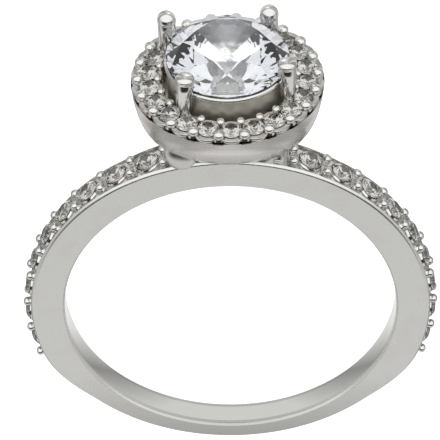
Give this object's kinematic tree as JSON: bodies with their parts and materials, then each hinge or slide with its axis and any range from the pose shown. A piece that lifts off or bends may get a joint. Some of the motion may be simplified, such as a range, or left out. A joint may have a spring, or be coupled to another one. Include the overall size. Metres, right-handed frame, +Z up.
{
  "type": "halo ring",
  "caption": "Finger ring on its side: a round brilliant in prongs inside a halo of small stones, on a narrow band with bead-set shoulders.",
  "frame": {"origin": "middle of the ring's box, on the surface that it lies on", "axes": "+X across the finger, +Y from the bottom of the band to the head, +Z up from the surface; the finger hole's axis leans 9.3 degrees from +Z towards -Y"},
  "size_m": [0.0218, 0.0276, 0.0095],
  "materials": {
    "white_metal": "polished rhodium-plated silver with fine wear",
    "centre_gem": "clear colourless round brilliant, polished facets",
    "small_gem": "clear colourless small brilliants, polished facets"
  },
  "bodies": {
    "root": {"ring_body": "white_metal", "centre_stone": "centre_gem", "halo_stone_1": "small_gem", "halo_stone_2": "small_gem", "halo_stone_3": "small_gem", "halo_stone_4": "small_gem", "halo_stone_5": "small_gem", "halo_stone_6": "small_gem", "halo_stone_7": "small_gem", "halo_stone_8": "small_gem", "halo_stone_9": "small_gem", "halo_stone_10": "small_gem", "halo_stone_11": "small_gem", "halo_stone_12": "small_gem", "halo_stone_13": "small_gem", "halo_stone_14": "small_gem", "halo_stone_15": "small_gem", "halo_stone_16": "small_gem", "halo_stone_17": "small_gem", "halo_stone_18": "small_gem", "halo_stone_19": "small_gem", "halo_stone_20": "small_gem", "halo_stone_21": "small_gem", "halo_stone_22": "small_gem", "shoulder_stone_left_1": "small_gem", "shoulder_stone_left_2": "small_gem", "shoulder_stone_left_3": "small_gem", "shoulder_stone_left_4": "small_gem", "shoulder_stone_left_5": "small_gem", "shoulder_stone_left_6": "small_gem", "shoulder_stone_left_7": "small_gem", "shoulder_stone_left_8": "small_gem", "shoulder_stone_left_9": "small_gem", "shoulder_stone_right_1": "small_gem", "shoulder_stone_right_2": "small_gem", "shoulder_stone_right_3": "small_gem", "shoulder_stone_right_4": "small_gem", "shoulder_stone_right_5": "small_gem", "shoulder_stone_right_6": "small_gem", "shoulder_stone_right_7": "small_gem", "shoulder_stone_right_8": "small_gem", "shoulder_stone_right_9": "small_gem"}
  },
  "joints": []
}
